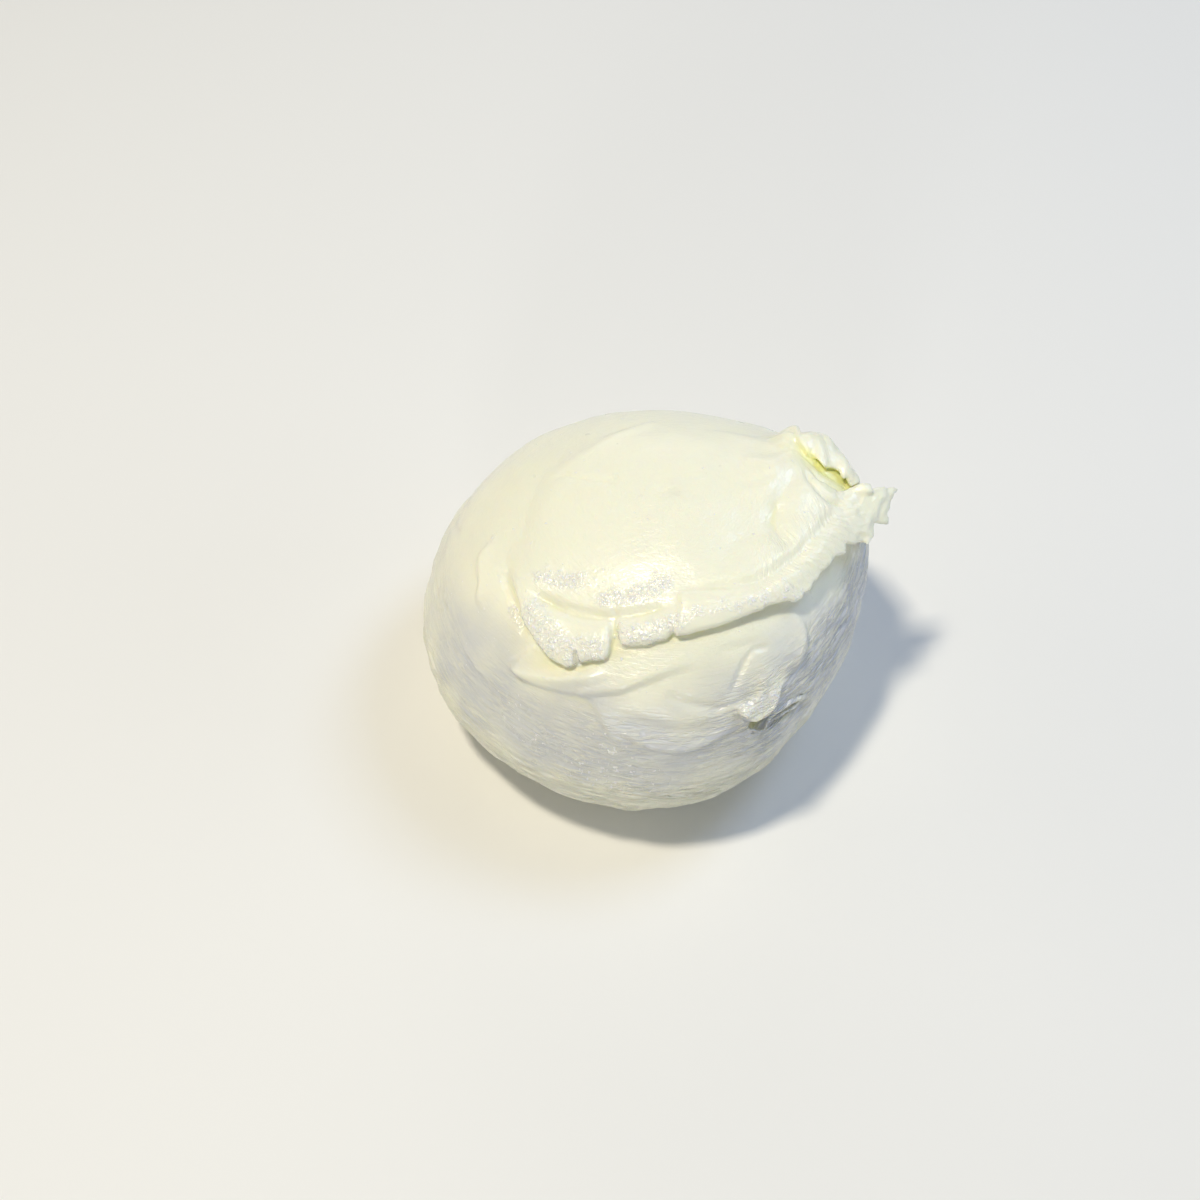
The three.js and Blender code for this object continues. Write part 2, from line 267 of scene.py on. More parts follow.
def path_distance(u, v, path):
    """Signed distance on the map to a path (positive on its left) and how far along it, 0 to 1, the nearest
    point lies.  Each straight piece of the path is tried in turn against all the places at once."""
    nearest, along, side = np.full(np.shape(u), 1e9), np.zeros(np.shape(u)), np.ones(np.shape(u))
    for k, ((au, av), (bu, bv)) in enumerate(zip(path[:-1, :2], path[1:, :2])):
        du, dv = bu - au, bv - av
        t = np.clip(((u - au) * du + (v - av) * dv) / (du * du + dv * dv), 0, 1)
        offset_u, offset_v = u - au - t * du, v - av - t * dv
        distance = np.hypot(offset_u, offset_v)
        closer = distance < nearest
        nearest = np.where(closer, distance, nearest)
        along = np.where(closer, (k + t) / (len(path) - 1), along)
        side = np.where(closer, np.where(du * offset_v - dv * offset_u >= 0, 1.0, -1.0), side)
    return side * nearest, along


def beside(u, v, points, count=FOLD_POINTS):
    """Signed distance to a smooth path through the points, and how far along it the nearest point lies."""
    return path_distance(u, v, smooth_path(points, count))


def fold(u, v, points, height, step, settle, fade=(0.4, 0.4)):
    """Height of an overlapping layer whose edge is a path: it rises over the step to the left of the edge,
    sinks back over the settling distance, and fades in and out over a share of the path at its two ends."""
    distance, along = beside(u, v, points)
    ends = smooth_step(along, 0, fade[0]) * smooth_step(1 - along, 0, fade[1])
    return height * ends * smooth_step(distance, -step, step) * np.exp(-np.maximum(distance, 0) / settle)


def furrows(u, v, shapes):
    """Soft furrows (and ridges, where the depth is negative) along paths, each a bell across its path that
    fades out towards both ends.  Where several meet, the deepest furrow and the highest ridge count, so that
    crossings don't turn into pits."""
    height = np.zeros((2,) + np.shape(u))
    for points, depth, width in shapes:
        distance, along = beside(u, v, points)
        begin, end = smooth_step(along, 0, FURROW_FADE), smooth_step(1 - along, 0, FURROW_FADE)
        shape = abs(depth) * begin * end * bell(distance, width)
        side = 0 if depth > 0 else 1
        height[side] = np.maximum(height[side], shape)
    return height[1] - height[0]


def near_path(u, v, points, width, count=12):
    """1 on a smooth path, falling away from it as a bell over the width."""
    return bell(beside(u, v, points, count)[0], width)


sample = line_noise(np.linspace(0, 60, 600), 1)
print("noise on a line runs from", sample.min().round(2), "to", sample.max().round(2))

# %% [markdown]
# ## From grids to meshes
#
# Every part is a grid of points.  Two helpers close such a grid: one for a surface of rings round an axis,
# with a single point at each end, and one for a sheet with two sides.  All the vertices go into the mesh in
# one call.

# %% Grid helpers
def grid_faces(rows, columns, closed):
    """Corner numbers of all the squares of a grid; a closed grid joins its last column to its first."""
    i, j = np.meshgrid(np.arange(rows - 1), np.arange(columns if closed else columns - 1), indexing="ij")
    k = (j + 1) % columns
    row, after = i * columns, (i + 1) * columns
    return np.stack([row + j, after + j, after + k, row + k], -1).reshape(-1, 4)


def ringed_part(first, rings, last):
    """Vertices and faces of a closed surface: a point, rings of points going down and round, a point."""
    rows, columns = rings.shape[:2]
    points = np.vstack([first[None], rings.reshape(-1, 3), last[None]])
    j = np.arange(columns)
    k = (j + 1) % columns
    top = np.stack([np.zeros_like(j), 1 + j, 1 + k], -1)
    under = (rows - 1) * columns + 1
    bottom = np.stack([np.full_like(j, len(points) - 1), under + k, under + j], -1)
    return points, (grid_faces(rows, columns, True) + 1).tolist() + top.tolist() + bottom.tolist()


def sheet_part(centre, thickness):
    """Vertices and faces of a closed sheet: the grid of its middle surface moved half its thickness to both
    sides along its normal, with the two grids joined round the rim."""
    along, across = np.gradient(centre, axis=0), np.gradient(centre, axis=1)
    normal = np.cross(along, across)
    normal /= np.maximum(np.linalg.norm(normal, axis=-1, keepdims=True), 1e-9)
    rows, columns = centre.shape[:2]
    half = 0.5 * thickness[..., None] * normal
    points = np.vstack([(centre + half).reshape(-1, 3), (centre - half).reshape(-1, 3)])
    upper = grid_faces(rows, columns, False)
    lower = upper[:, ::-1] + rows * columns
    index = np.arange(rows * columns).reshape(rows, columns)
    rim = np.concatenate([index[:-1, 0], index[-1, :-1], index[:0:-1, -1], index[0, :0:-1]])
    after = np.roll(rim, -1)
    wall = np.stack([rim, rim + rows * columns, after + rows * columns, after], -1)
    return points, np.vstack([upper, lower, wall]).tolist()


def mesh_from(name, parts):
    """One mesh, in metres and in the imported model's frame, from several parts in millimetres."""
    points, faces, start = [], [], 0
    for part_points, part_faces in parts:
        points.append(part_points)
        faces += [[start + corner for corner in face] for face in part_faces]
        start += len(part_points)
    mesh = bpy.data.meshes.new(name)
    mesh.from_pydata(((np.vstack(points) + place_shift) / 1000).tolist(), [], faces)
    return mesh


print("3 rings of 8 points are joined by", len(grid_faces(3, 8, True)), "squares")

# %% [markdown]
# ## The ball's own folds
#
# Below the hem the skin of the ball lies in soft overlapping layers.  They are added as height over the
# smooth ball, together with slow dents, before the mesh is made.  The torn flap low on the right is such a
# layer too, with a sharp edge over a deep slit.  The filling that shows in the mouth is a broad ridge.
#
# The photograph doesn't show the back, so its few soft folds and waves are a guess.

# %% The filled ball
FLAP_EDGE = [
    (22, -57), (24, -60), (26.4, -61.4), (29.4, -62.3), (31.6, -61.9), (35.2, -59.6), (37, -55.5),
    (37.8, -52.5), (39.3, -49.8), (41, -47.5)]
BALL_FOLDS = [  # path on the map, height, step, settling distance, fades at the two ends
    ([(-48.2, -40.9), (-46.6, -43.9), (-43.9, -46.8), (-38.8, -50.6), (-32.6, -53), (-26.5, -54.7),
      (-21.4, -55), (-13.3, -54.5), (-7.8, -52.4), (-1.9, -49.7), (3.7, -47.5),
      (12.6, -45)], 1.4, 1.6, 7, (0.08, 0.3)),
    (FLAP_EDGE, 2.4, 0.7, 7, (0.25, 0.4)),
    ([(38.2, -51), (40, -48), (42.5, -44.6), (44.2, -41), (43.6, -37.5), (40.5, -33.5),
      (35, -31)], 1.1, 1.5, 6, (0.3, 0.3)),
    ([(-44.5, -3.7), (-48.2, -3.8), (-51.8, -5.5), (-52.6, -9.2), (-52.8, -13.8), (-54.4, -18.1),
      (-53.8, -21.3), (-51.5, -25)], 0.8, 1.2, 5, (0.2, 0.3)),
    ([(-66, -20.9), (-65.9, -27.7), (-63.3, -35.7), (-59.8, -42.8), (-55.6, -45.7),
      (-51.9, -46.5)], 0.9, 1.3, 6),
    ([(-26.5, -54.9), (-23, -56.1), (-21.2, -57.8), (-19.9, -60.8), (-18.4, -64.5), (-15.7, -69.1),
      (-12.4, -73.5), (-8.8, -77.6)], 0.8, 1.2, 4, (0.1, 0.4)),
]
BACK_FOLDS = [  # as above, but guessed
    ([(40, 54), (20, 66), (-6, 70), (-32, 62), (-52, 44), (-62, 24)], 0.8, 1.6, 5, (0.35, 0.35)),
    ([(70, 48), (48, 68), (14, 84), (-20, 82), (-50, 66), (-74, 40)], 0.7, 1.5, 6),
    ([(20, 96), (-14, 94), (-50, 78), (-76, 48)], 0.7, 1.6, 7),
    ([(62, 18), (66, 4), (68, -12)], 0.6, 1.4, 6),
]
SLIT = [
    (29, -65.2), (33, -65), (37.5, -63.8), (42, -61.8), (47, -59.3), (52, -56.8), (57, -54.2), (60, -52.4)]
BALL_FURROWS = [  # path on the map, depth (below 0: a ridge), width
    ([(30, -40), (26.8, -41.2), (23.7, -41.8), (22, -45), (21.4, -47.3), (20.3, -52.9),
      (19.7, -56.9)], 0.6, 0.9),
    ([(12, -43), (19, -41), (27, -39)], 0.3, 1.5),
    (SLIT, 3.0, 2.2),
    ([(-49.4, -41), (-46.8, -43), (-44, -44.8), (-40.7, -46.5), (-33.8, -48.8), (-27.8, -49.8),
      (-21.3, -49.6), (-14.5, -48.6)], -0.9, 1.7),
    ([(-44.5, -12), (-42.6, -20), (-41.6, -27), (-40.3, -32), (-38.8, -36.5)], 0.7, 1.5),
    ([(-0.3, -53.9), (5.4, -57.5), (12.7, -58.9), (21.7, -59.7)], 0.6, 1.7),
    ([(-14.1, -66.3), (-9.7, -69.3), (-3.7, -72), (2.5, -73.3), (9, -73), (15.7, -70.7), (21, -67.4),
      (27.2, -62.3)], -0.6, 1.5),
    ([(-12, -62), (-2, -66), (8, -67), (20, -64)], 0.4, 2.0),
    ([(-60, 6), (-67, 22), (-63, 42)], 0.6, 1.6),
    ([(-24, 74), (-6, 78), (14, 74)], 0.6, 1.6),
    ([(30, 70), (44, 66), (54, 56)], 0.5, 1.5),
    ([(-38, 62), (-34, 74), (-24, 84)], 0.5, 1.5),
    ([(41.3, -36.5), (41.1, -39), (40.8, -41.5), (40.4, -43.5)], -0.5, 1.4),
]
MOUTH_FLOOR = [  # as above: the filling behind the collar
    ([(20, 15), (29, 9.5), (32.3, 7.4), (35.5, 6.2), (39, 5.8), (43, 5.2), (49, 4), (56, 2)], -4.0, 4.0),
    ([(20, 18), (28, 14), (34, 11), (40, 9), (46, 7.5), (54, 6)], -3.9, 5.0),
    ([(22, 20), (29, 16), (35, 13), (41, 11), (50, 9)], -4.7, 4.0),
]
DENT_HEIGHT, DENT_SIZE = 0.35, 17  # slow dents all over, in mm and in degrees of the map
WAVE_HEIGHT, WAVE_SIZE = 0.4, 8  # shorter waves on the back
FOOT_FADE = 25  # degrees over which the relief fades out towards the flat spot


def ball_relief(u, v):
    """Height over the smooth ball of its folds, furrows and dents, and of the filling in the mouth."""
    height = sum(fold(u, v, *shape) for shape in BALL_FOLDS + BACK_FOLDS)
    height += furrows(u, v, BALL_FURROWS + MOUTH_FLOOR)
    behind = smooth_step(np.hypot(u, v), 60, 76) * smooth_step(v + 0.4 * np.abs(u), -20, 20)
    waves = WAVE_HEIGHT * behind * flat_noise(u / WAVE_SIZE, v / WAVE_SIZE, 12)
    return height + DENT_HEIGHT * flat_noise(u / DENT_SIZE, v / DENT_SIZE, 11) + waves


def make_ball(rows=250, columns=640):
    """Rings of the map from the top down to the flat spot, lifted by the relief, which fades out there."""
    rim = 180 - np.degrees(np.arccos((EQUATOR / BELOW) ** (LOWER_POWER / 2)))
    polar = np.linspace(0, rim, rows + 1)[1:, None]
    azimuth = np.linspace(0, 2 * np.pi, columns, endpoint=False)[None]
    u, v = polar * np.cos(azimuth), polar * np.sin(azimuth)
    rings = lifted(u, v, ball_relief(u, v) * smooth_step(rim - polar, 0, FOOT_FADE))
    rings[-1, :, 2] = 0
    return ringed_part(ball_point(np.float64(0), np.float64(0)), rings, rings[-1].mean(0))


ball_part = make_ball()
print("ball:", len(ball_part[0]), "points")

# %% [markdown]
# ## The lid and its hem
#
# The last fold of skin lies over the crown.  Its hem steps round the front: a tongue at the left, a notch,
# a second lobe and a long straight stretch that lifts off into the gathered collar at the right.  Under the
# collar there is a real gap, so the lid can't be only height over the ball.  It is a closed sheet: rings go
# from its middle out to the hem, round the hem, and back underneath.
#
# The hem is one smooth path given by listed points, each with its lift above the ball.  The rise of
# the lid follows a calmed copy of it; otherwise each tooth of the hem would send a ripple up the lid.

# %% The lid
LID_MIDDLE = (-14.0, -12.0)
LID_HEM = [
    (51.5, -5.2, 5.6), (49.4, -6.8, 5.5), (46.9, -8.2, 5.4), (44.3, -9.7, 5.3), (45.5, -11.9, 5.2),
    (42.4, -13.7, 5), (40.7, -17.2, 4.7), (38.8, -20.3, 4.4), (36.7, -23.3, 4.2), (36, -25, 4.1),
    (34.5, -25.8, 4), (33.9, -27.5, 3.9), (31.9, -28.9, 3.7), (29.9, -28.6, 3.6), (27, -29.6, 3.4),
    (22.9, -31, 3.1), (20.3, -32.2, 2.9), (16.5, -33.8, 2.7), (11.8, -35.5, 2.5), (7.1, -37, 2.3),
    (2.2, -38.3, 2.2), (0.6, -37.5, 2), (-0.6, -38.9, 2.2), (-3.9, -40.2, 2.3), (-8.6, -41.2, 2.3),
    (-11.9, -41, 2.2), (-13, -39.2, 1.9), (-13.9, -37.6, 1.5), (-15.1, -39.3, 1.9), (-15.6, -42.6, 2.3),
    (-17.2, -44.8, 2.4), (-20, -44.8, 2.5), (-24.5, -45.3, 2.6), (-27.7, -46, 2.5), (-29.5, -45, 2.5),
    (-33, -42.2, 2.4), (-36.3, -37, 2.3), (-38.3, -32.5, 2.2), (-39.3, -29, 2.1), (-39.7, -23.4, 1.9),
    (-40.5, -20.4, 1.6), (-41.7, -15.8, 1.1), (-44.7, -7.2, 0.2), (-46, 0, -0.8), (-46, 10, -1),
    (-38, 30, -1), (-18, 42, -1), (8, 46, -1), (27, 38, -1), (34, 31, 0), (35.5, 24, 1.8), (33.5, 18, 3),
    (30.5, 14, 3.6), (29.2, 10.6, 4), (29.6, 8.4, 4.1), (31.3, 6.7, 4.2), (33.3, 5, 4.4), (36.4, 4.1, 4.7),
    (39.5, 3.6, 4.9), (42.5, 3.6, 5.1), (45.5, 3.4, 5.2), (49.5, 1.2, 5.3), (51.8, -2, 5.4)]
CROWN_LIFT = 0.7
LID_RISE = (0.45, 0.93)  # shares of the way to the hem between which the lid rises to the hem's lift
CALM_PARTS = 25  # the hem is calmed over one such part of a turn to both sides
LID_SINK = -1.6
HEM_THICKNESS = 2.2
COLLAR_THINNING = 0.38  # how much thinner the hem is where it is lifted high
HEM_ROUNDING = 0.7  # degrees over which the hem's edge is rounded, for each mm of thickness
BAND_EDGE = [
    (24, -26.5), (17, -26.4), (11, -26), (5, -26), (1.6, -27), (1.9, -30), (1.5, -34), (0.6, -39.5)]
GUTTER = [
    (0, -25.5), (6.1, -26), (11.7, -25.6), (19.3, -24.6), (24.8, -21.8), (30.5, -16.9), (33.4, -12.2),
    (36.6, -7)]
GUTTER_TIP = [(38.6, -3), (39.4, 0)]
LID_FURROWS = [  # path on the map, depth (below 0: a ridge), width
    ([(-37, -20), (-33, -25), (-27, -29.4), (-20, -32.3), (-13.6, -33.2), (-6.2, -32.1), (-1.9, -30.3),
      (1.5, -28)], 1.2, 1.8),
    ([(-16.5, -31), (-14.8, -35), (-14, -40)], 1.3, 1.3),
    ([(-24.8, -41), (-24.6, -44), (-24.4, -49)], 1.8, 0.6),
    (GUTTER, 0.8, 2.0),
    ([(28, -19.5)] + GUTTER[5:] + GUTTER_TIP, 0.6, 1.8),
    ([(28, 8), (26.3, 4.4), (24.6, 1), (23.3, -3.5), (23.8, -8.1), (25.9, -11.5), (28.4, -14.8),
      (30.5, -17.5)], 0.65, 2.4),
    ([(23.9, -8.2), (21.3, -11.1), (17, -12.6), (12, -13)], 0.25, 1.3),
    ([(28.6, 8.5), (29.5, 5.2), (31.6, 2.9), (34, 1), (37.4, -0.4), (41, 0.1), (45, 1.2),
      (49, 2.2)], 0.7, 0.8),
    ([(-29, 9), (-24.9, 9.3), (-22.4, 7.9), (-18.5, 5.8), (-14.9, 4.7), (-10, 3)], 0.4, 1.1),
    ([(-42, 30), (-36.5, 24.7), (-32.5, 20.4), (-29.3, 17), (-25, 13.5)], 0.5, 1.3),
    ([(-27, 12), (-22.1, 13.9), (-18.7, 15.8), (-15.7, 19.1), (-13.1, 21.9), (-7.3, 26.6),
      (0, 34)], -0.5, 2.2),
    ([(-24, 27), (-19, 28.5), (-14, 25)], 0.35, 1.2),
    ([(12, 1.5), (16.9, 2.5), (20.1, 3.6), (22, 5)], 0.35, 1.0),
    ([(-4, 0), (0.3, 0.3), (4, -0.3)], 0.12, 0.9),
    ([(14, 9), (19, 8), (23, 5)], -0.4, 2.0),
    ([(8, 25), (18, 21), (26, 13)], -0.35, 3.0),
]
BAND = (BAND_EDGE, 0.55, 0.7, 12, (0.5, 0.05))  # a fold: path, height, step, settling distance, fades
PLEAT_HEIGHT = 0.28
PLEAT_SPACING = 1.35  # degrees between the pleats of the collar
PLEAT_SHEAR = 0.45  # how much the pleats lean along the gutter as they run outwards


def hem_by_direction(count):
    """Distance and lift of the hem in evenly spaced directions round the lid's middle."""
    path = smooth_path(LID_HEM, 4000, closed=True)
    du, dv = path[:, 0] - LID_MIDDLE[0], path[:, 1] - LID_MIDDLE[1]
    direction = np.unwrap(np.arctan2(dv, du))
    order = np.argsort(direction)
    even = direction.min() + 2 * np.pi * np.arange(count) / count
    distance = np.interp(even, direction[order], np.hypot(du, dv)[order])
    return even, distance, np.interp(even, direction[order], path[order, 2])


def calmed(row, reach):
    """Weighted mean of a closed row of values over a number of neighbours to both sides."""
    weights = np.hanning(2 * reach + 1)
    return np.convolve(np.tile(row, 3), weights / weights.sum(), "same")[len(row):2 * len(row)]


def gathers(u, v):
    """The collar's own coordinates: along the gutter (sheared, in degrees) and outwards from it."""
    gutter = smooth_path(GUTTER + GUTTER_TIP, 40)
    distance, along = path_distance(u, v, gutter)
    length = np.linalg.norm(np.diff(gutter, axis=0), axis=1).sum()
    return along * length - PLEAT_SHEAR * np.abs(distance), -distance


def pleats(u, v):
    """Fine gathers across the collar: waves along the gutter, made uneven by noise that is stretched
    outwards; they start at the gutter and grow towards the rim."""
    along, outward = gathers(u, v)
    place = along + 1.1 * flat_noise(u / 5, v / 5, 21)
    wave = 0.5 * np.cos(2 * np.pi * place / PLEAT_SPACING) + flat_noise(place / 1.5, outward / 11, 22)
    return PLEAT_HEIGHT * smooth_step(outward, -1, 4) * smooth_step(along, 10, 28) * wave


def lid_lift(u, v, share, hem_lift):
    """Height of the top of the lid: low over the crown, rising to the hem, with the overlapping band at the
    front, its furrows, and the collar's pleats."""
    height = CROWN_LIFT + (hem_lift - CROWN_LIFT) * smooth_step(share, *LID_RISE)
    height += fold(u, v, *BAND) + furrows(u, v, LID_FURROWS)
    return height + pleats(u, v) + 0.2 * flat_noise(u / 12, v / 12, 23)


def make_lid(columns=1600, rows=190):
    """The lid from its middle over the top, round the hem and back underneath."""
    direction, distance, hem_lift = hem_by_direction(columns)
    calm = calmed(distance, columns // CALM_PARTS)[None]
    direction, distance, hem_lift = direction[None], distance[None], hem_lift[None]
    ragged = smooth_step(np.cos(direction + np.radians(5)), 0.85, 0.97)
    ragged += 0.35 * smooth_step(np.cos(direction + np.radians(95)), 0.6, 0.9)
    teeth = line_noise(90 * direction, 24) + 0.7 * line_noise(150 * direction, 25)
    slow = line_noise(14 * direction, 26) + 0.7 * line_noise(37 * direction, 27)
    distance = distance * (1 + 0.008 * slow) + 0.7 * ragged * teeth
    thinning = 1 - COLLAR_THINNING * smooth_step(hem_lift, 2.8, 4.2)
    thickness = np.clip(hem_lift - LID_SINK, 0.2, HEM_THICKNESS) * thinning
    round_reach = HEM_ROUNDING * thickness * (1 + 3 * smooth_step(1.8 - hem_lift, 0, 1.6))

    def at(share):
        """Map place, way to the hem, height of the top and rounding of the edge, for rings at a share of the
        way to the hem."""
        u = LID_MIDDLE[0] + distance * share * np.cos(direction)
        v = LID_MIDDLE[1] + distance * share * np.sin(direction)
        edge = (1 - share) * distance
        rounding = np.sqrt(1 - (1 - np.clip(edge / round_reach, 0, 1)) ** 2)
        top = lid_lift(u, v, np.minimum(share * distance / calm, 1), hem_lift)
        return u, v, edge, top, rounding

    share = np.linspace(0, 1, rows + 1)[1:, None] ** 0.9
    u, v, edge, top, rounding = at(share)
    upper = lifted(u, v, top - 0.5 * thickness * (1 - rounding))
    u, v, edge, top, rounding = at(share[-2::-2])
    tucked = smooth_step(edge, 3, 11)
    hanging = top - 0.5 * thickness * (1 + rounding)
    lower = lifted(u, v, hanging * (1 - tucked) + LID_SINK * tucked)

    middle = ball_point(*map(np.float64, LID_MIDDLE))
    rings = np.concatenate([upper, lower])
    return ringed_part(middle + [0, 0, CROWN_LIFT], rings, middle + [0, 0, LID_SINK])


lid_part = make_lid()
print("lid:", len(lid_part[0]), "points")

# %% [markdown]
# ## The mouth, the tail and the threads
#
# Past the pinch the gathered skin opens into a small mouth.  Its far lip stands up from the back of the ball
# and curls forward over a hollow; its near side runs out into a torn tail.  Both are sheets lofted across a
# few lines: the first line is where the sheet grows out of the ball and the last is its free, ragged edge.
# Two strands of curd still cross the slit below the flap; they are thin tubes.

# %% Loose sheets
BACK_LIP = [
    [(31, 31, -1.5), (37, 31, -1.5), (42, 28, -1.5), (46, 24, -1.5), (49, 18, -1.5), (51, 12, -1.5)],
    [(26.5, 19.5, 2), (30.4, 21.3, 4.3), (29.7, 17.2, 4.5), (32.6, 17.7, 5.3), (36.6, 18, 5.8),
     (38.9, 15.8, 5.8), (41.3, 12.8, 5.8), (44, 10.8, 5.6), (46, 8.6, 5.4)],
    [(26.6, 16, 2.6), (29.3, 13.4, 3.9), (30.4, 11.4, 4.5), (32, 10.9, 4.7), (33.2, 9.7, 4.8),
     (34.2, 8.3, 4.8), (35.4, 8.5, 4.9), (37.2, 9.4, 5.1), (39.4, 8.9, 5.2), (40.3, 7.5, 5.1),
     (41.6, 7.9, 5.2), (43.4, 6.6, 5.1)],
]
TAIL = [
    [(38, 3, 4.4), (39.5, 1, 4.5), (41, -2, 4.6), (43, -5.6, 4.7), (45, -8.4, 4.7)],
    [(40.6, 3.8, 5.6), (43.5, 3.2, 6.6), (46, 1.6, 6.9), (48.2, -1, 6.4), (49.4, -5.2, 5.6)],
    [(41.2, 4.3, 6.2), (43.4, 5.5, 8), (44.9, 5.5, 9), (46, 4.1, 9.1), (46.8, 4.6, 9.4), (48.2, 5.8, 9.8),
     (51.4, 7.6, 10.5), (53.3, 8, 10.7), (52, 6.7, 10), (53.3, 6.7, 9.5), (53, 5.9, 9.1), (54, 4.6, 8.6),
     (54, 3, 8), (56.2, 1.9, 7.4), (54.3, 1.7, 7), (53, 2, 6.6), (51.6, 0.4, 6.4), (51.5, -1.2, 6.1),
     (52.4, -2.4, 6), (52, -4.9, 5.8), (50.8, -7, 5.6)],
]
TAIL_FURROWS = [
    ([(47.5, 6.5), (46.7, 4.2), (46, 1.8), (45, -0.2), (44, -2)], 0.3, 0.9),
    ([(35, -0.5), (38, -0.3), (41, 0.2), (45, 1.2), (49, 2.3)], 0.35, 0.8),
]
THREADS = [
    [(61.5, -50.3, -0.6), (55.3, -53.2, 0), (48.1, -55.8, 0.2), (42.6, -58.5, 0.3), (39.5, -60.5, 0.3),
     (38.5, -62.7, 0.3), (38.6, -66.1, 0.1), (36, -66.5, 0), (29.5, -65.9, -0.5)],
    [(57, -52.9, -0.3), (52.7, -55.8, 0), (47.8, -58.8, 0.1), (42.3, -61.6, 0.1), (39.6, -63.4, 0.1)],
]
THREAD_RADIUS = 0.38


def loft(lines, along, across):
    """A grid of places [u, v, lift]: smooth paths along the lines, then the same cubic across them."""
    rows = np.stack([smooth_path(line, along) for line in lines], 1)
    p = np.concatenate([2 * rows[:, :1] - rows[:, 1:2], rows, 2 * rows[:, -1:] - rows[:, -2:-1]], 1)
    t = np.linspace(0, len(lines) - 1, across)
    span = np.minimum(t.astype(int), len(lines) - 2)
    f = (t - span)[None, :, None]
    return cubic(*(p[:, span + k] for k in range(4)), f)


def torn_sheet(lines, thickness, crumple, tear, seed, dents=(), pleated=False, along=300, across=90):
    """A lofted sheet with crumples in its lift and a last edge pulled in and out by noise, which gets
    thinner towards that edge and towards its two ends."""
    place = loft(lines, along, across)
    i = np.linspace(0, 1, along)[:, None] + np.zeros((1, across))
    j = np.linspace(0, 1, across)[None]
    ragged = tear * (line_noise(13 * i, seed) + 0.8 * line_noise(37 * i, seed + 1))
    reach = place[:, -1:] - place[:, -2:-1]
    reach /= np.linalg.norm(reach, axis=-1, keepdims=True)
    place = place + (j ** 4 * ragged)[..., None] * reach
    u, v, lift = place[..., 0], place[..., 1], place[..., 2]
    creases = flat_noise(u / 2.6, v / 5.5, seed + 2) + 0.5 * flat_noise(u / 1.5, v / 2.5, seed + 3)
    lift = lift + crumple * smooth_step(j, 0, 0.3) * creases + (pleats(u, v) if pleated else 0)
    lift = lift + furrows(u, v, dents)
    rim = np.clip(np.minimum(np.minimum(i, 1 - i) * 6, (1 - j) * 4) + 0.45, 0, 1)
    return sheet_part(lifted(u, v, lift), thickness * rim)


def thread(points, rows=80, columns=10):
    """A thin strand: circles round a smooth path, in the plane of the skin's normal and the direction
    across the path, shrinking to a point at both ends."""
    path = lifted(*smooth_path(points, rows).T)
    ahead = np.gradient(path, axis=0)
    up = ball_normal(*smooth_path(points, rows).T[:2])
    side = np.cross(ahead, up)
    side /= np.linalg.norm(side, axis=1, keepdims=True)
    angle = np.linspace(0, 2 * np.pi, columns, endpoint=False)[None, :, None]
    radius = THREAD_RADIUS * np.sin(np.pi * np.linspace(0.05, 0.95, rows))[:, None, None] ** 0.3
    rings = path[:, None] + radius * (np.cos(angle) * side[:, None] + np.sin(angle) * up[:, None])
    return ringed_part(path[0], rings, path[-1])


sheets = [  # lines, thickness, crumple and tear in mm, seed
    torn_sheet(BACK_LIP, 1.15, 0.4, 0.4, 31),
    torn_sheet(TAIL, 1.1, 0.3, 0.35, 41, TAIL_FURROWS, pleated=True),
]
threads = [thread(points) for points in THREADS]
print("sheets:", [len(points) for points, _ in sheets], "points, threads:", len(threads))

# %% [markdown]
# ## One skin
#
# The parts overlap, and a real burrata is one lump.  A Boolean union would keep hard seams, while a voxel
# remesh melts the parts together with small fillets, as wet curd does.  After it, the mesh is smoothed a
# little by moving every point towards the mean of its neighbours, which numpy does for all points at once.

# %% Fuse the parts
VOXEL = 0.0003
RELAXING = (0.5, -0.5, 0.5, -0.45, 0.5)  # shares of the way to the mean; those below 0 undo the shrinking


def applied(mesh, *modifiers):
    """A new mesh: the given one with modifiers, each a (type, settings) pair, worked out and applied."""
    carrier = placed("carrier", mesh)
    for kind, settings in modifiers:
        modifier = carrier.modifiers.new(kind.title(), kind)
        for setting, value in settings.items():
            setattr(modifier, setting, value)
    depsgraph = bpy.context.evaluated_depsgraph_get()
    result = bpy.data.meshes.new_from_object(carrier.evaluated_get(depsgraph), depsgraph=depsgraph)
    bpy.data.objects.remove(carrier)
    return result


def vertex_values(mesh, what="co"):
    """Positions or normals of all the vertices as an array."""
    values = np.empty(3 * len(mesh.vertices))
    mesh.vertices.foreach_get(what, values)
    return values.reshape(-1, 3)


def neighbour_mean(mesh):
    """A function that takes values at the vertices and gives the mean over each vertex's neighbours."""
    ends = np.empty(2 * len(mesh.edges), int)
    mesh.edges.foreach_get("vertices", ends)
    a, b = ends.reshape(-1, 2).T
    count = len(mesh.vertices)
    degree = np.bincount(a, minlength=count) + np.bincount(b, minlength=count)

    def mean(values):
        flat = values.reshape(count, -1)
        sums = [np.bincount(a, column[b], count) + np.bincount(b, column[a], count) for column in flat.T]
        return (np.stack(sums, -1) / degree[:, None]).reshape(values.shape)

    return mean


skin = mesh_from("skin", [ball_part, lid_part, *sheets, *threads])
skin = applied(skin, ("REMESH", {"mode": "VOXEL", "voxel_size": VOXEL}))
mean = neighbour_mean(skin)
place = vertex_values(skin)
for weight in RELAXING:
    place = place + weight * (mean(place) - place)
skin.vertices.foreach_set("co", place.ravel())
skin.update()
print("fused skin:", len(skin.vertices), "points")

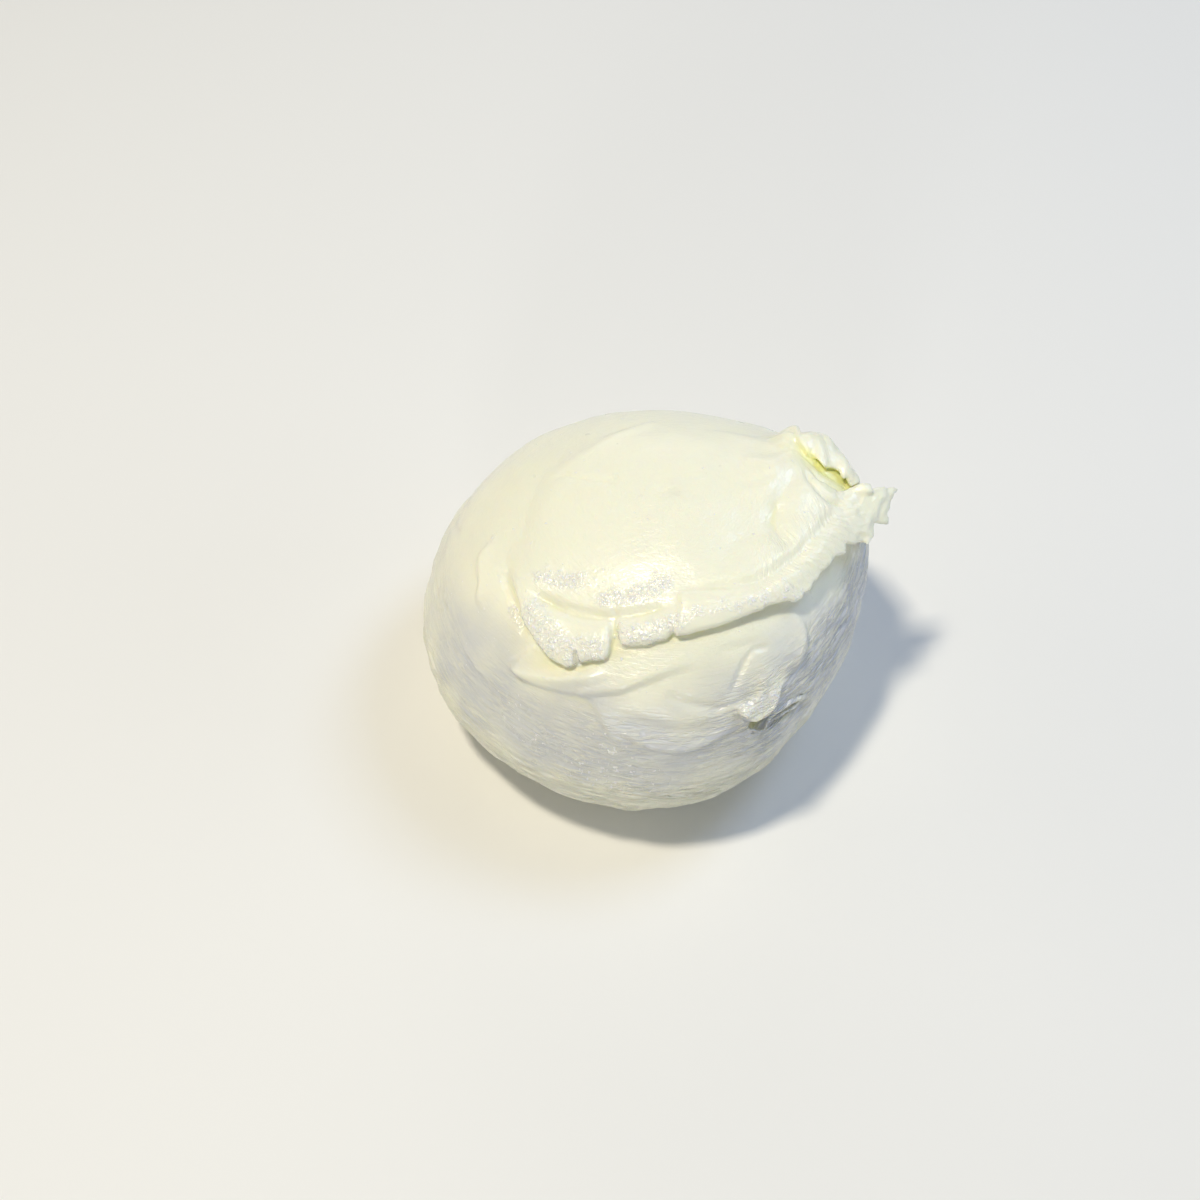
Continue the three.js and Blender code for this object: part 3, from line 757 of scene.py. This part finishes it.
# %% [markdown]
# ## Fibres and wrinkles
#
# Pulled curd keeps the grain of the pull.  On the right flank it lies in fine wavy wrinkles, lower down it
# flows in slow bands, and everywhere there are small dimples.  The fused skin's points know their place on
# the map, so the wrinkles can follow the ball: noise that is squeezed down the flank and stretched round it.

# %% Wrinkle the skin
FLOW_CIRCLE = 6.0  # radius in mm of the circle that the way round the ball is squeezed onto
FIBRE_HEIGHT, BAND_HEIGHT, DIMPLE_HEIGHT = 0.24, 0.22, 0.05
TRIANGLE_GOAL = 190_000


def flow_place(u, v):
    """Coordinates in which a texture comes out as fibres: the way round the ball is squeezed onto a small
    circle, and the way down the flank stays in millimetres."""
    polar, azimuth = np.hypot(u, v), np.arctan2(v, u)
    x, y = FLOW_CIRCLE * np.cos(azimuth), FLOW_CIRCLE * np.sin(azimuth)
    return np.stack([x, y, MM_PER_DEGREE * polar], -1)


def fibrous(u, v):
    """Where the skin is fibrous: fully on the right flank, and less along the low rim, at the left edge and
    on the front, each uneven by noise."""
    polar, azimuth = np.hypot(u, v), np.degrees(np.arctan2(v, u)) % 360
    right = (smooth_step(azimuth, 275, 305) + smooth_step(-azimuth, -50, -15)) * smooth_step(polar, 50, 64)
    rim = smooth_step(polar, 84, 93)
    left = bell((azimuth - 195) / 40, 1) * smooth_step(polar, 62, 76)
    front = bell((azimuth - 265) / 40, 1) * smooth_step(polar, 58, 70)
    uneven = 0.75 + 0.5 * flat_noise(u / 9, v / 9, 65)
    return np.clip((right + 0.5 * rim + 0.3 * left + 0.35 * front) * uneven, 0, 1)


def on_flap(u, v):
    """The flap by the slit, which is thick and plain: the high side of its edge."""
    distance, along = beside(u, v, FLAP_EDGE)
    ends = smooth_step(along, 0.1, 0.35) * smooth_step(1 - along, 0, 0.15)
    return smooth_step(distance, -0.6, 0.4) * smooth_step(-distance, -6.5, -3.5) * ends


def wrinkles(points, u, v):
    """Height of the fine relief, in millimetres: thin crests where a noise along the flow is near zero and
    slow bands, both only on bare ball, and small dimples."""
    flow = flow_place(u, v)
    flow[..., 2] += 1.3 * noise(flow * [1.4, 1.4, 0.22], 61)
    crests = 1 - 2.2 * np.abs(noise(flow * [1.3, 1.3, 0.75], 62))
    bands = noise(flow * [0.4, 0.4, 0.13], 63)
    flank = smooth_step(np.hypot(u, v), 50, 66)
    bare = smooth_step(-lift_of(points, u, v), -2.6, -1.6) * (1 - on_flap(u, v))
    fine = (FIBRE_HEIGHT * fibrous(u, v) * crests + BAND_HEIGHT * bands * flank) * bare
    return fine + DIMPLE_HEIGHT * noise(points / 2.4, 64)


place = vertex_values(skin) * 1000 - place_shift
normal = vertex_values(skin, "normal")
u, v = map_place(place)
standing = smooth_step(place[:, 2], 0.2, 3)
place += (wrinkles(place, u, v) * standing)[:, None] * normal
skin.vertices.foreach_set("co", ((place + place_shift) / 1000).ravel())
skin.update()

triangles = sum(len(face.vertices) - 2 for face in skin.polygons)
skin = applied(skin, ("DECIMATE", {"ratio": min(1.0, TRIANGLE_GOAL / triangles)}))
skin.name = "burrata_skin"
skin.shade_smooth()
print("finished skin:", len(skin.polygons), "triangles from", triangles)

# %% [markdown]
# ## What the material reads
#
# Some things about the skin are known here and hard to find out in a shader: how deep a point lies in a
# crease, where the curd is granular or wet, where the skin is thin and gets painted shade, where the mouth
# is, and which way the fibres and the gathers run.  They go with the mesh as attributes.  The flow
# coordinate squeezes the way round the ball, so that a texture on it comes out stretched into fibres.

# %% Attributes
GRANULAR = [  # path on the map, width, strength
    ([(-36, -29), (-31, -37), (-26, -41), (-19.5, -41)], 4.0, 1.0),
    ([(-12, -37.5), (-6, -37), (0, -34)], 3.0, 1.0),
    ([(-33, -18), (-28, -20.5), (-23, -21.5)], 2.4, 0.9),
    ([(-16, -27.5), (-9, -26.5), (-3, -24)], 2.6, 0.9),
    ([(-43, -26), (-41.5, -31)], 1.6, 0.8),
    ([(4, -32), (11, -30.5), (18, -29), (27, -27), (34, -24)], 2.8, 0.55),
    ([(27, -59), (31, -58), (35, -54.5)], 3.2, 0.9),
]
# Where separate wet specks are made glossy, bumped and painted white as glints.
SPARKLING = [  # as above: where separate wet specks catch the light
    ([(-27.2, -80.6), (-22.8, -82.7), (-17.1, -85.1), (-12.3, -85.8)], 6.0, 1.0),
    ([(-18, -72.4), (-14.7, -74.7), (-9.6, -77.2), (-8.4, -81.6)], 4.5, 0.9),
    ([(1.4, -84.8), (5.2, -87.1)], 4.5, 0.9),
    ([(-50, -55), (-49, -66), (-36, -73)], 6.0, 0.6),
]
MOUTH = [(30.5, 11.5), (33, 9.8), (36.5, 9), (40, 8), (43, 7)]
SURROUNDINGS, SOFTENING = 25, 3  # passes of a mean for a crease's surroundings and its depth


def patches(u, v, shapes):
    """A mask, 1 along the given paths and 0 away from them, with a ragged outline."""
    near = [strength * near_path(u, v, path, width) for path, width, strength in shapes]
    return np.max(near, axis=0) + 0.4 * flat_noise(u / 2.5, v / 2.5, 71)


def crease_depth(place, normal, mean):
    """How deep points lie in a crease: how far out along the normal the mean of their surroundings lies."""
    spread = place
    for _ in range(SURROUNDINGS):
        spread = mean(spread)
    depth = ((spread - place) * normal).sum(-1)
    for _ in range(SOFTENING):
        depth = mean(depth)
    return depth


def thin_skin_and_shade(u, v, lift):
    """Where the skin is thin, with painted bluish shade on top of it: low on the bare flanks, most at the
    front right and least behind, and in the slit, which is painted as shaded, but not on the flap."""
    front_right = bell((np.degrees(np.arctan2(v, u)) + 45) / 40, 1)
    polar = np.hypot(u, v) + 9 * flat_noise(u / 14, v / 14, 72)
    low = smooth_step(polar + 8 * front_right, 50, 72) * smooth_step(-polar, -100, -78)
    low = low * smooth_step(-lift, -3.2, -1.2)
    front = 0.25 + 0.75 * smooth_step(-v + 0.3 * u, -25, 15)
    slit = near_path(u, v, SLIT, 1.6, 16) * smooth_step(-lift, 0.3, 1.2)
    return np.clip(low * front * (1 - on_flap(u, v)) + slit, 0, 1)


place = vertex_values(skin) * 1000 - place_shift
normal = vertex_values(skin, "normal")
u, v = map_place(place)
lift = lift_of(place, u, v)
depth = crease_depth(place, normal, neighbour_mean(skin))
along, outward = gathers(u, v)
attributes = {
    # crease depth, which sets the painted yellow shade in the creases
    "cavity": smooth_step(depth, 0.06, 0.5),
    "flow": flow_place(u, v),
    "fibre": fibrous(u, v),
    "gather": np.stack([1.3 * along, 0.16 * outward, 0 * along], -1),
    "collar": smooth_step(along, 12, 26) * smooth_step(-np.abs(outward), -13, -7),
    "granular": smooth_step(patches(u, v, GRANULAR), 0.1, 0.9),
    "sparkling": np.clip(patches(u, v, SPARKLING), 0, 1),
    # thin skin and, with it, painted bluish shade on the lower flank and in the slit
    "thinskinshade": thin_skin_and_shade(u, v, lift),
    # deep in the mouth, where a painted yellow glow stands for light through the skin
    "mouth": near_path(u, v, MOUTH, 4.5) * smooth_step(-lift, -5.3, -4.7),
}
for name, values in attributes.items():
    kind, field = ("FLOAT", "value") if values.ndim == 1 else ("FLOAT_VECTOR", "vector")
    skin.attributes.new(name, kind, "POINT").data.foreach_set(field, values.ravel())
print("creases deeper than 0.1 mm:", round(100 * (depth > 0.1).mean(), 1), "% of the skin")

# %% [markdown]
# ## The material of moist curd
#
# Fresh curd scatters light a few millimetres deep, is ivory rather than white, and is wet.  Its colour could
# come from a picture, but a few causes explain nearly all of it, and several of them are painted light:
# creases get a painted yellow shade for the light that bounces about in them; the flank looks greyer, partly
# because the watery filling shows through thin skin and partly from painted bluish shade, most at the front
# right, low down and in the slit; a painted yellow glow stands for light that comes through the skin round
# the mouth; the granular, torn curd gets painted shade between its grains and painted white glints on its
# specks; and everything else is one ivory.
#
# The fine relief is a bump: fibres along the flow, gathers, pores, granules where the fold was torn, and wet
# specks.  It is a node group, and so is the tone.  The film of whey is the shader's coat, smoothest where
# the curd is granular.

# %% Curd material
# IVORY is the curd's own colour; the grey is partly thin skin and partly painted shade, and the other tones
# are painted shade, painted glints and a painted glow.
IVORY, THIN_SKIN_SHADE, CREASE_SHADE = (0.93, 0.915, 0.74, 1), (0.62, 0.635, 0.66, 1), (0.88, 0.86, 0.55, 1)
GRAIN_GAP_SHADE, GLINT_WHITE, MOUTH_GLOW = (0.88, 0.88, 0.82, 1), (1, 1, 0.99, 1), (0.93, 0.93, 0.45, 1)
SCATTER_DEPTH = 0.0012
SCATTER_SHARES = (1.0, 0.85, 0.55)  # of that depth for red, green and blue
FIBRE_BUMP, GATHER_BUMP, PORE_BUMP, GRANULE_BUMP, SPECK_BUMP = 0.26, 0.28, 0.07, 0.32, 0.10  # in mm
FIBRE_EVERYWHERE = 0.02


def node(tree, kind, inputs=(), **settings):
    """Add a node, set its properties, and fill its inputs: a socket is linked, anything else is a value."""
    made = tree.nodes.new(kind)
    for name, value in settings.items():
        setattr(made, name, value)
    for key, value in dict(inputs).items():
        if isinstance(value, bpy.types.NodeSocket):
            tree.links.new(value, made.inputs[key])
        else:
            made.inputs[key].default_value = value
    return made


def maths(tree, operation, *values):
    """A Math node on one, two or three values."""
    return node(tree, "ShaderNodeMath", enumerate(values), operation=operation).outputs[0]


def new_group(name, inputs, outputs):
    """An empty shader group with named sockets, each given as name: kind."""
    group = bpy.data.node_groups.new(name, "ShaderNodeTree")
    for direction, sockets in (("INPUT", inputs), ("OUTPUT", outputs)):
        for socket, kind in sockets.items():
            group.interface.new_socket(name=socket, in_out=direction, socket_type="NodeSocket" + kind)
    return group, node(group, "NodeGroupInput").outputs, node(group, "NodeGroupOutput").inputs


def new_material(name, values):
    """A new material and its Principled shader, with values for some of the shader's sockets."""
    material = bpy.data.materials.new(name)
    material.use_nodes = True
    shader = material.node_tree.nodes["Principled BSDF"]
    for socket, value in values.items():
        shader.inputs[socket].default_value = value
    return material, shader


def grain_group():
    """Fine relief in millimetres: fibres from noise on the flow coordinate, gathers at the collar, pores,
    granules and specks, each times its own mask.  The strands, streaks along the flow, a slow film and the
    specks are also given out, for the colour, where the specks are painted white as glints."""
    inputs = dict.fromkeys(("Place", "Flow", "Gather"), "Vector")
    inputs.update(dict.fromkeys(("Fibre", "Collar", "Granular", "Sparkling"), "Float"))
    outputs = dict.fromkeys(("Height", "Strand", "Film", "Streak", "SpeckGlint"), "Float")
    group, given, out = new_group("curd_grain", inputs, outputs)
    scaling = {0: given["Place"], "Scale": 1000.0}
    scaled = node(group, "ShaderNodeVectorMath", scaling, operation="SCALE").outputs[0]

    def noise_at(vector, scale, detail=2.0, distortion=0.0):
        values = {"Vector": vector, "Scale": scale, "Detail": detail, "Distortion": distortion}
        return node(group, "ShaderNodeTexNoise", values).outputs[0]

    def times(first, second):
        return maths(group, "MULTIPLY", first, second)

    flow = noise_at(given["Flow"], 1.0, 3.0, 0.9)
    off_middle = maths(group, "ABSOLUTE", maths(group, "SUBTRACT", flow, 0.5))
    strand = maths(group, "SUBTRACT", 1.0, maths(group, "MINIMUM", times(off_middle, 9.0), 1.0))
    fibres = times(strand, maths(group, "MULTIPLY_ADD", given["Fibre"], FIBRE_BUMP, FIBRE_EVERYWHERE))
    gathers_height = times(times(noise_at(given["Gather"], 1.0, 3.0, 0.3), GATHER_BUMP), given["Collar"])
    pores = times(noise_at(scaled, 1.3, 3.0), PORE_BUMP)
    granule = noise_at(scaled, 1.5, 2.0, 0.5)
    dense = maths(group, "MULTIPLY_ADD", granule, 8.0, -4.2)
    dense.node.use_clamp = True
    threshold = maths(group, "MULTIPLY_ADD", given["Sparkling"], -0.17, 0.76)
    sparse = times(maths(group, "SUBTRACT", noise_at(scaled, 1.1, 1.0, 0.3), threshold), 14.0)
    sparse.node.use_clamp = True
    # specks: bumped here, and painted white as glints by the tone
    speck_glint = maths(group, "MAXIMUM", times(dense, given["Granular"]), sparse)
    granules = times(times(granule, GRANULE_BUMP), given["Granular"])
    granules = maths(group, "MULTIPLY_ADD", speck_glint, SPECK_BUMP, granules)
    smooth_part = maths(group, "ADD", fibres, pores)
    height = maths(group, "ADD", smooth_part, maths(group, "ADD", granules, gathers_height))
    film = noise_at(scaled, 0.22, 4.0)
    streak = noise_at(given["Flow"], 0.35, 3.0)
    for name, socket in zip(outputs, (height, strand, film, streak, speck_glint)):
        group.links.new(socket, out[name])
    return group


def tone_group():
    """Colour of the curd: ivory; greyer where the skin is thin and where bluish shade is painted (in clouds
    and between the strands); yellower with painted shade in creases and with a painted glow in the mouth;
    greyer with painted shade between the granules where it is torn; and white with painted glints on the
    specks."""
    inputs = ("Cavity", "ThinSkinShade", "Fibre", "Mouth", "Film", "Strand", "Streak", "SpeckGlint", "Granular")
    group, given, out = new_group("curd_tone", dict.fromkeys(inputs, "Float"), {"Color": "Color"})

    def blend(share, first, second):
        factor_and_colours = {0: share, 6: first, 7: second}
        return node(group, "ShaderNodeMix", factor_and_colours, data_type="RGBA").outputs[2]

    # The grey share: partly thin skin and partly painted shade, uneven in clouds and between the strands.
    cloud = maths(group, "MULTIPLY_ADD", maths(group, "ADD", given["Film"], given["Streak"]), 0.4, 0.36)
    gaps = maths(group, "MULTIPLY", maths(group, "MULTIPLY_ADD", given["Strand"], -1.2, 0.5), given["Fibre"])
    film = maths(group, "MULTIPLY", given["ThinSkinShade"], maths(group, "ADD", cloud, gaps))
    film.node.use_clamp = True
    # painted yellow shade in the creases, by their depth
    crease_shaded = blend(given["Cavity"], blend(film, IVORY, THIN_SKIN_SHADE), CREASE_SHADE)
    # painted shade between the granules, less where the specks are
    between = maths(group, "MULTIPLY_ADD", given["SpeckGlint"], -0.5, 0.5)
    gap_shaded = blend(maths(group, "MULTIPLY", given["Granular"], between), crease_shaded, GRAIN_GAP_SHADE)
    # painted white glints on the specks
    glinted = blend(given["SpeckGlint"], gap_shaded, GLINT_WHITE)
    # painted yellow glow in the mouth, for light that comes through the skin
    group.links.new(blend(given["Mouth"], glinted, MOUTH_GLOW), out["Color"])
    return group


def curd_material():
    """Principled shader with light scattered under the surface, fed by the tone and grain groups."""
    values = {"Subsurface Weight": 0.45, "Subsurface Radius": SCATTER_SHARES,
              "Subsurface Scale": SCATTER_DEPTH, "Coat Weight": 0.5}
    material, shader = new_material("moist_curd", values)
    tree = material.node_tree
    read = {name: node(tree, "ShaderNodeAttribute", attribute_name=name).outputs for name in attributes}
    grain = node(tree, "ShaderNodeGroup", node_tree=grain_group())
    tone = node(tree, "ShaderNodeGroup", node_tree=tone_group())

    def feed(group, kind, names):
        for name in names:
            tree.links.new(read[name.lower()][kind], group.inputs[name])

    feed(grain, "Vector", ("Flow", "Gather"))
    feed(grain, "Fac", ("Fibre", "Collar", "Granular", "Sparkling"))
    feed(tone, "Fac", ("Cavity", "ThinSkinShade", "Fibre", "Mouth", "Granular"))
    for name in ("Film", "Strand", "Streak", "SpeckGlint"):
        tree.links.new(grain.outputs[name], tone.inputs[name])
    tree.links.new(node(tree, "ShaderNodeTexCoord").outputs["Object"], grain.inputs["Place"])
    tree.links.new(tone.outputs["Color"], shader.inputs["Base Color"])
    wet = maths(tree, "MAXIMUM", read["granular"]["Fac"], read["sparkling"]["Fac"])
    dry = maths(tree, "MULTIPLY_ADD", grain.outputs["Film"], 0.25, 0.22)
    rough = maths(tree, "MULTIPLY", dry, maths(tree, "MULTIPLY_ADD", wet, -0.5, 1.0))
    tree.links.new(rough, shader.inputs["Roughness"])
    tree.links.new(maths(tree, "MULTIPLY_ADD", wet, -0.16, 0.22), shader.inputs["Coat Roughness"])
    relief = {"Height": grain.outputs["Height"], "Distance": 0.001, "Strength": 1.0}
    bump = node(tree, "ShaderNodeBump", relief)
    for socket in ("Normal", "Coat Normal"):
        tree.links.new(bump.outputs["Normal"], shader.inputs[socket])
    return material


burrata = placed("burrata_skin", skin)
skin.materials.clear()
skin.materials.append(curd_material())
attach(burrata, "root")
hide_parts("burrata")
print("material:", skin.materials[0].name, "with the groups", [group.name for group in bpy.data.node_groups])

# %% [markdown]
# ## Floor and light
#
# The floor is plain and pale.  A small warm lamp high above gives the shadow its direction, a bluish one to
# the right tints the shaded flank, and four weak wide ones keep every side readable.

# %% Floor and lights
FLOOR_REACH = 3.0
FLOOR_COLOUR = (0.86, 0.85, 0.82, 1)
LAMPS = (  # name, place and size in metres, power in watts, colour
    ("key", (-0.25, -0.08, 0.95), 0.10, 5.9, (1.0, 0.92, 0.75)),
    ("fill", (0.45, 0.25, 0.80), 0.30, 2.4, (0.50, 0.66, 1.0)),
    ("side", (0.80, -0.10, 0.30), 0.50, 1.0, (0.82, 0.90, 1.0)),
    ("left", (-0.85, 0.10, 0.35), 0.50, 0.9, (1.0, 0.92, 0.78)),
    ("front", (-0.15, -0.90, 0.26), 0.18, 1.2, (0.95, 0.97, 1.0)),
    ("back", (0.0, 0.90, 0.40), 0.50, 0.8, (1.0, 0.96, 0.88)),
)
LAMP_TARGET = (0, 0, 0.03)
ROOM_COLOUR, ROOM_STRENGTH = (0.84, 0.93, 1.0, 1), 0.16


def make_floor():
    """A pale sheet large enough for every view."""
    side = FLOOR_REACH
    corners = [(-side, -side, 0), (side, -side, 0), (side, side, 0), (-side, side, 0)]
    mesh = bpy.data.meshes.new("floor")
    mesh.from_pydata(corners, [], [(0, 1, 2, 3)])
    material, _ = new_material("floor_paint", {"Base Color": FLOOR_COLOUR, "Roughness": 0.6})
    mesh.materials.append(material)
    floor = placed("floor", mesh)


def area_light(name, place, size, power, colour):
    """A square lamp that faces the ball."""
    lamp = bpy.data.lights.new(name, "AREA")
    lamp.size, lamp.energy, lamp.color = size, power, colour
    light = placed(name, lamp)
    light.location = place
    light.rotation_euler = (Vector(LAMP_TARGET) - Vector(place)).to_track_quat("-Z", "Y").to_euler()


make_floor()
for lamp in LAMPS:
    area_light(*lamp)
world = bpy.data.worlds.new("room")
world.use_nodes = True
background = world.node_tree.nodes["Background"]
background.inputs["Color"].default_value = ROOM_COLOUR
background.inputs["Strength"].default_value = ROOM_STRENGTH
bpy.context.scene.world = world
bpy.context.scene.view_settings.view_transform = "Standard"
print("lamps:", [(name, power) for name, _, _, power, _ in LAMPS])
